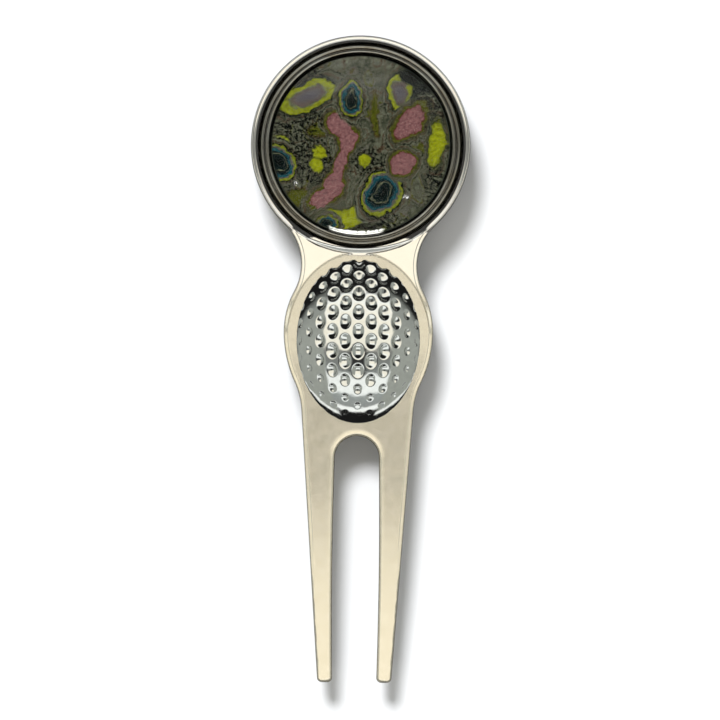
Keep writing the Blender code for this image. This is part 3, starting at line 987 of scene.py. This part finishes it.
# Pools of paint, from the lowest layer to the highest. Ellipses in one pool run together, and each has its
# centre, half axes and turn in degrees.
POOLS = [
    (OLIVE, [((-5.2, 1.9), (1.6, 1.2), 30.0), ((-7.3, -6.8), (2.2, 1.3), -30.0)]),
    (OLIVE, [((1.7, 4.0), (0.55, 3.4), 4.0)]),
    (MAUVE, [((-6.5, 5.9), (4.1, 1.9), 30.0)]),
    (MAUVE, [((4.8, 6.7), (1.7, 3.0), -8.0)]),
    (
        BLACK,
        [
            ((8.3, 6.1), (2.5, 2.1), -35.0),
            ((10.3, 2.8), (0.9, 2.6), -10.0),
            ((6.0, 8.6), (1.6, 0.9), -30.0),
        ],
    ),
    (YELLOW, [((9.4, 0.2), (1.25, 3.4), -3.0)]),
    (
        PINK,
        [
            ((-2.7, 2.5), (2.1, 1.45), -35.0),
            ((-1.6, 0.4), (2.2, 1.25), 70.0),
            ((-2.5, -2.2), (2.6, 1.05), 74.0),
            ((-3.3, -4.8), (2.4, 1.45), 78.0),
            ((-4.7, -6.9), (2.4, 1.45), 38.0),
        ],
    ),
    (YELLOW, [((-5.3, -0.9), (0.95, 1.1), 0.0), ((-5.6, -2.7), (0.75, 1.1), 10.0)]),
    (YELLOW, [((0.7, -1.9), (0.95, 0.85), 20.0)]),
    (YELLOW, [((-10.0, 0.3), (1.6, 1.1), 25.0)]),
    (EYE, [((-1.3, 5.5), (1.75, 2.25), 8.0)]),
    (EYE, [((-10.2, -2.2), (2.3, 2.4), 0.0)]),
    (YELLOW, [((-0.4, -8.5), (2.7, 1.3), 32.0), ((-3.4, -9.5), (3.0, 1.3), 8.0)]),
    (EYE, [((2.7, -6.0), (2.5, 3.3), -28.0)]),
    (EYE, [((-4.1, -9.9), (1.5, 1.0), 0.0)]),
    (PINK, [((6.1, 2.9), (3.3, 1.75), 52.0)]),
    (PINK, [((5.4, -2.3), (1.9, 1.7), 0.0)]),
]
# Where the paint is peppered with black: centre and half axes.
GRIT = [
    ((-8.2, -0.6), (3.4, 5.4)),
    ((-5.6, -2.4), (2.4, 3.6)),
    ((8.6, 5.2), (2.6, 3.4)),
    ((0.9, -2.2), (2.3, 2.0)),
    ((0.5, -9.6), (6.0, 1.5)),
    ((-6.5, 8.4), (3.0, 1.3)),
    ((9.2, -4.2), (1.3, 3.2)),
    ((-6.4, 3.2), (2.4, 1.4)),
]
LAYERS = 7.0  # how many times the ground's bands repeat


def pool_depth(paint, place, ellipses):
    """Distance from the middle of a pool's nearest ellipse, where 1 is its edge."""
    depth = None
    for centre, half, turn in ellipses:
        node = paint.node("Mapping", Vector=place, Location=(*centre, 0.0), Scale=(*half, 1.0))
        node.vector_type = "TEXTURE"
        node.inputs["Rotation"].default_value = (0.0, 0.0, math.radians(turn))
        length = paint.vector("LENGTH", paint.vector("MULTIPLY", node.outputs[0], (1.0, 1.0, 0.0)))
        depth = length if depth is None else paint.math("SMOOTH_MIN", depth, length, 0.12)
    return depth


def warped(paint, place, scale, reach, detail):
    """A place moved about by noise, by up to about half of reach."""
    noise = paint.noise(place, scale, detail, output="Color")
    move = paint.vector("SUBTRACT", noise, (0.5, 0.5, 0.5))
    return paint.vector("ADD", place, paint.vector("MULTIPLY", move, (reach, reach, 0.0)))


def peppered(paint, flat, place, nearest):
    """Share of fine black grit, which is densest in the GRIT patches and stays off the pools of colour."""
    area = pool_depth(paint, place, [(centre, half, 0.0) for centre, half in GRIT])
    chance = paint.remap(area, 0.6, 1.2, 0.485, 0.60)
    pepper = paint.noise(paint.scaled(flat, (1.0, 1.0, 0.0), (4.0, 7.0, 0.0)), 2.6, 3.0, 0.75)
    over = paint.times(paint.minus(pepper, chance), 25.0)
    over = paint.math("MINIMUM", paint.math("MAXIMUM", over, 0.0), 1.0)
    return paint.times(over, paint.remap(nearest, 0.93, 1.02))


def marbled_paint():
    """Sliced layers of paint: contour bands with pools of pink, yellow-green and blue, and black pepper."""
    paint = Paint("layered_paint")
    flat = paint.scaled(paint.place, (1.0, 1.0, 0.0))
    place = flat
    for scale, reach, detail in ((0.30, 1.7, 1.0), (1.3, 0.9, 2.0), (4.5, 0.45, 2.0)):
        place = warped(paint, place, scale, reach, detail)
    layers = paint.noise(paint.scaled(place, (0.20, 0.11, 0.0), (3.1, 7.7, 0.0)), 1.0, 2.0, 0.5)
    tint = paint.ramp(paint.math("FRACT", paint.times(layers, LAYERS)), GROUND)[0]
    nearest = None
    for kind, ellipses in POOLS:
        depth = pool_depth(paint, place, ellipses)
        reach = kind[-1][0]
        stops = [(at / reach, colour) for at, colour in kind]
        pool, share = paint.ramp(paint.math("DIVIDE", depth, reach), stops)
        tint = paint.mix(share, tint, pool)
        if kind not in (OLIVE, BLACK):
            nearest = depth if nearest is None else paint.math("MINIMUM", nearest, depth)
    tint = paint.mix(peppered(paint, flat, place, nearest), tint, INK)
    fleck = paint.noise(paint.scaled(flat, (1.0, 1.0, 0.0), (9.0, 2.0, 0.0)), 2.6, 5.0, 0.75)
    shade = paint.remap(fleck, 0.3, 0.7, 0.22, 0.66)
    warm = paint.node("CombineXYZ", X=shade, Y=shade, Z=paint.times(shade, 0.85))
    tint = paint.mix(1.0, tint, warm.outputs[0], "MULTIPLY")
    # The white arc at the bottom is a painted highlight, for light that the dome focuses onto its lower edge.
    paint.set(
        Base_Color=paint.mix(painted_caustic_arc(paint), tint, CAUSTIC_WHITE),
        Roughness=0.35,
        Specular_IOR_Level=0.0,
        Normal=paint.bump(fleck, 0.15, 0.02),
    )
    return paint.material


def cured_glue():
    paint = Paint("cured_glue")
    cloud = paint.noise(paint.place, 1.2, 3.0)
    paint.set(
        Base_Color=(0.62, 0.55, 0.38, 1.0),
        Roughness=paint.remap(cloud, 0.3, 0.7, 0.2, 0.4),
        Normal=paint.bump(cloud, 0.3, 0.05),
    )
    return paint.material


# ---------------------------------------------------------------- pieces


DOME_EDGE_H = 0.45
DOME_BACK_RISE = 0.06  # how far the dome's back is raised at its edge
DOME_STEPS = 40


def tray_profile():
    floor_z = TRAY_LOW.z + 0.7
    crest_z = TRAY_HIGH.z
    flange_z = LIP_Z - 0.25
    rim = TRAY_HIGH.x
    return [
        (0.0, floor_z),
        (11.35, floor_z),
        (11.43, floor_z + 0.08),
        (11.47, floor_z + 0.4),
        (11.50, crest_z - 0.42),
        (11.56, crest_z - 0.2),
        (11.64, crest_z - 0.06),
        (11.74, crest_z - 0.01),
        (11.82, crest_z),
        (11.90, crest_z - 0.03),
        (11.97, crest_z - 0.11),
        (12.01, crest_z - 0.24),
        (12.03, flange_z - 0.1),
        (12.07, flange_z - 0.30),
        (12.17, flange_z - 0.30),
        (12.21, flange_z - 0.10),
        (12.25, flange_z - 0.01),
        (12.30, flange_z + 0.01),
        (12.42, flange_z + 0.01),
        (12.52, flange_z - 0.02),
        (12.61, flange_z - 0.09),
        (12.67, flange_z - 0.19),
        (rim, flange_z - 0.34),
        (rim, TRAY_LOW.z + 0.3),
        (rim - 0.1, TRAY_LOW.z + 0.1),
        (rim - 0.3, TRAY_LOW.z),
        (0.0, TRAY_LOW.z),
    ]


def dome_profile():
    """A nearly flat-backed dome, whose crown rolls over into a short upright edge.

    The back meets that edge sharply: a round there would bend the light all over the back.
    """
    radius = LENS_HIGH.x
    edge_z = LENS_LOW.z + DOME_EDGE_H
    points = []
    for step in range(DOME_STEPS + 1):
        angle = math.radians(90.0 * step / DOME_STEPS)
        points.append((radius * math.sin(angle), edge_z + (LENS_HIGH.z - edge_z) * math.cos(angle)))
    return points + [(radius, LENS_LOW.z + DOME_BACK_RISE), (0.0, LENS_LOW.z)]


def disc_profile(low, high, edge):
    return [
        (0.0, high.z),
        (high.x - 2 * edge, high.z),
        (high.x - edge, high.z),
        (high.x - 0.3 * edge, high.z - 0.3 * edge),
        (high.x, high.z - edge),
        (high.x, low.z + edge),
        (high.x - edge, low.z),
        (0.0, low.z),
    ]


def add_piece(obj, body, node):
    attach(obj, body)
    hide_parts(node)


def build_pieces():
    satin = satin_nickel()
    cup = bright_plate("bright_cup", (0.66, 0.68, 0.66))
    recess = bright_plate("bright_recess", (0.66, 0.65, 0.60), 0.18)
    add_piece(build_body([satin, cup, recess]), "tool", "tool_body")
    plating = bright_plate("magnet_plate", (0.6, 0.6, 0.6), 0.16)
    magnet = turned("magnet", disc_profile(MAGNET_LOW, MAGNET_HIGH, 0.15), plating)
    add_piece(magnet, "tool", "holding_magnet")
    tray = turned("tray", tray_profile(), turned_plate())
    add_piece(tray, "marker", "marker_tray")
    bed = turned("bed", disc_profile(BED_LOW, BED_HIGH, 0.03), black_bed())
    add_piece(bed, "marker", "inlay_bed")
    inlay = turned("inlay", disc_profile(INLAY_LOW, INLAY_HIGH, 0.04), marbled_paint())
    add_piece(inlay, "marker", "marbled_inlay")
    dome = turned("dome", dome_profile(), clear_glass(), sharp_deg=60.0)
    add_piece(dome, "marker", "domed_lens")
    for node, material in (("magnet_adhesive", cured_glue()), ("lens_film", clear_film())):
        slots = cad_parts[node].data.materials
        slots.clear()
        slots.append(material)


# ---------------------------------------------------------------- floor, lights and camera


FLOOR_GAP = 0.004  # the tool floats over the floor by this, which sets how far out its shadow falls


def build_floor():
    """A pale floor, which shows darker in reflections, so that the edges of the metal stand out from it."""
    place = (0.0, 0.0, cad_box[0].z - FLOOR_GAP)
    bpy.ops.mesh.primitive_grid_add(x_subdivisions=2, y_subdivisions=2, size=6.0, location=place)
    floor = bpy.context.object
    floor.name = "floor"
    paint = Paint("pale_floor")
    paint.set(Base_Color=(0.60, 0.61, 0.63, 1.0), Roughness=0.9, Specular_IOR_Level=0.0)
    mirrored = paint.node("BsdfDiffuse", Color=(0.10, 0.10, 0.095, 1.0))
    glossy = paint.node("LightPath").outputs["Is Glossy Ray"]
    paint.layer(glossy, paint.shader.outputs[0], mirrored.outputs[0])
    floor.data.materials.append(paint.material)


DARK = (0.01, 0.01, 0.01)
HORIZON = [(-90, (0.35, 0.35, 0.34)), (-84, (0.3, 0.3, 0.29)), (-79, DARK)]
FAR_HORIZON = [(78, DARK), (84, (0.3, 0.3, 0.29)), (90, (0.35, 0.35, 0.34))]
# What the metal reflects: the angle from overhead (prongs' side positive), and the colour there.
ROOM_MIDDLE = [
    *HORIZON,
    (-50, DARK),
    (-48.5, (1.0, 1.0, 0.98)),
    (-44, (1.0, 1.0, 0.98)),
    (-42.5, (0.28, 0.29, 0.28)),
    (-31, (0.32, 0.34, 0.33)),
    (-28, (0.92, 0.93, 0.91)),
    (-15, (0.92, 0.93, 0.91)),
    (-11, (0.22, 0.23, 0.22)),
    (2, (0.2, 0.2, 0.19)),
    (6, (0.92, 0.87, 0.76)),
    (18, (0.96, 0.89, 0.76)),
    (32, (1.0, 0.99, 0.95)),
    (36, DARK),
    *FAR_HORIZON,
]
ROOM_SIDES = [
    *HORIZON,
    (-59, DARK),
    (-57.5, (0.95, 0.95, 0.93)),
    (-54, (0.95, 0.95, 0.93)),
    (-52.5, (0.31, 0.32, 0.29)),
    (8, (0.34, 0.35, 0.32)),
    (32, (0.28, 0.29, 0.27)),
    (44, DARK),
    *FAR_HORIZON,
]
ROOM_RADIANCE = 1.45
SIDE_DEG = (32.0, 36.0)  # angles from overhead, to the left or right, between which the sides take over
SIDE_DARK_DEG = (72.0, 82.0)
SIDE_DARKENING = 0.75
SIDE_GLOW_DEG = (83.0, 85.0)
SIDE_GLOW = (1.0, 1.0, 0.97)
PATCH = (0.035, 0.035, 0.035)  # the dark patch overhead, its middle, and where it fades out
PATCH_TILT_DEG = -3.0
PATCH_SIDE_FADE_DEG = (5.0, 13.0)
PATCH_TILT_FADE_DEG = (4.0, 10.0)

# Directions are from the tool.
KEY_STRENGTH = 4.5
KEY_WIDTH_DEG = 17.0
KEY_DIRECTION = (-0.182, 0.490, 0.853)
FILL_STRENGTH = 0.5
FILL_WIDTH_DEG = 100.0
FILL_DIRECTION = (0.0, 0.0, 1.0)
GLINT_STRENGTH = 0.2
GLINT_WIDTH_DEG = 0.4
GLINT_DIRECTIONS = [
    (-0.4225, -0.244, 0.873),
    (-0.400, -0.222, 0.889),
    (0.2404, -0.2569, 0.936),
    (0.270, -0.275, 0.923),
]

VIEW_DISTANCE = 1.5
VIEW_WIDTH = 0.09096
VIEW_CENTRE = (0.00025, -0.02716, 0.0047)
VIEW_ROLL_DEG = 0.7


def build_room():
    """A studio round the tool: pale panels ahead and behind, grey sides and a dark patch overhead."""
    world = bpy.data.worlds.new("room")
    bpy.context.scene.world = world
    world.use_nodes = True
    room = Nodes(world.node_tree)
    background = world.node_tree.nodes["Background"]
    x, y, z = room.separate(room.node("TexCoord").outputs["Generated"])
    tilt = room.math("DEGREES", room.math("ARCTAN2", room.times(y, -1.0), z))
    side = room.math("ABSOLUTE", room.math("DEGREES", room.math("ARCTAN2", x, z)))
    place = room.math("DIVIDE", room.plus(tilt, 90.0), 180.0)
    middle, sides = (
        room.ramp(place, [((deg + 90.0) / 180.0, colour) for deg, colour in stops])[0]
        for stops in (ROOM_MIDDLE, ROOM_SIDES)
    )
    sides = room.mix(room.remap(side, *SIDE_DARK_DEG, 0.0, SIDE_DARKENING), sides, DARK)
    sides = room.mix(room.remap(side, *SIDE_GLOW_DEG), sides, SIDE_GLOW)
    colour = room.mix(room.remap(side, *SIDE_DEG), middle, sides)
    off_patch = room.math("ABSOLUTE", room.minus(tilt, PATCH_TILT_DEG))
    across = room.remap(side, *PATCH_SIDE_FADE_DEG, 1.0, 0.0)
    overhead = room.times(across, room.remap(off_patch, *PATCH_TILT_FADE_DEG, 1.0, 0.0))
    room.link(room.mix(overhead, colour, PATCH), background.inputs["Color"])
    background.inputs["Strength"].default_value = ROOM_RADIANCE


def add_lamp(name, strength, width_deg, direction):
    """A far lamp in some direction from the tool."""
    data = bpy.data.lights.new(name, "SUN")
    data.energy = strength
    data.angle = math.radians(width_deg)
    lamp = bpy.data.objects.new(name, data)
    lamp.rotation_euler = Vector(direction).to_track_quat("Z", "Y").to_euler()
    bpy.context.scene.collection.objects.link(lamp)
    return lamp


def build_lamps():
    """A key, which casts the shadow, a fill, which lightens it, and small lamps that only the dome receives.

    The metal reflects only the room: the key and the fill don't show in it.
    """
    for lamp in (
        add_lamp("key", KEY_STRENGTH, KEY_WIDTH_DEG, KEY_DIRECTION),
        add_lamp("fill", FILL_STRENGTH, FILL_WIDTH_DEG, FILL_DIRECTION),
    ):
        lamp.visible_glossy = False
        lamp.visible_transmission = False
    shown_on = bpy.data.collections.new("glint_receivers")
    shown_on.objects.link(bpy.data.objects["dome"])
    for number, direction in enumerate(GLINT_DIRECTIONS, 1):
        glint = add_lamp(f"glint_{number}", GLINT_STRENGTH, GLINT_WIDTH_DEG, direction)
        glint.light_linking.receiver_collection = shown_on


def build_camera():
    """Looks straight down on the tool, through a long lens, with a slight roll."""
    data = bpy.data.cameras.new("camera")
    data.lens = data.sensor_width * VIEW_DISTANCE / VIEW_WIDTH
    camera = bpy.data.objects.new("camera", data)
    camera.location = Vector(VIEW_CENTRE) + Vector((0.0, 0.0, VIEW_DISTANCE))
    camera.rotation_euler = (0.0, 0.0, math.radians(VIEW_ROLL_DEG))
    bpy.context.scene.collection.objects.link(camera)
    bpy.context.scene.camera = camera
    bpy.context.scene.view_settings.view_transform = "Standard"


build_pieces()
build_floor()
build_room()
build_lamps()
build_camera()
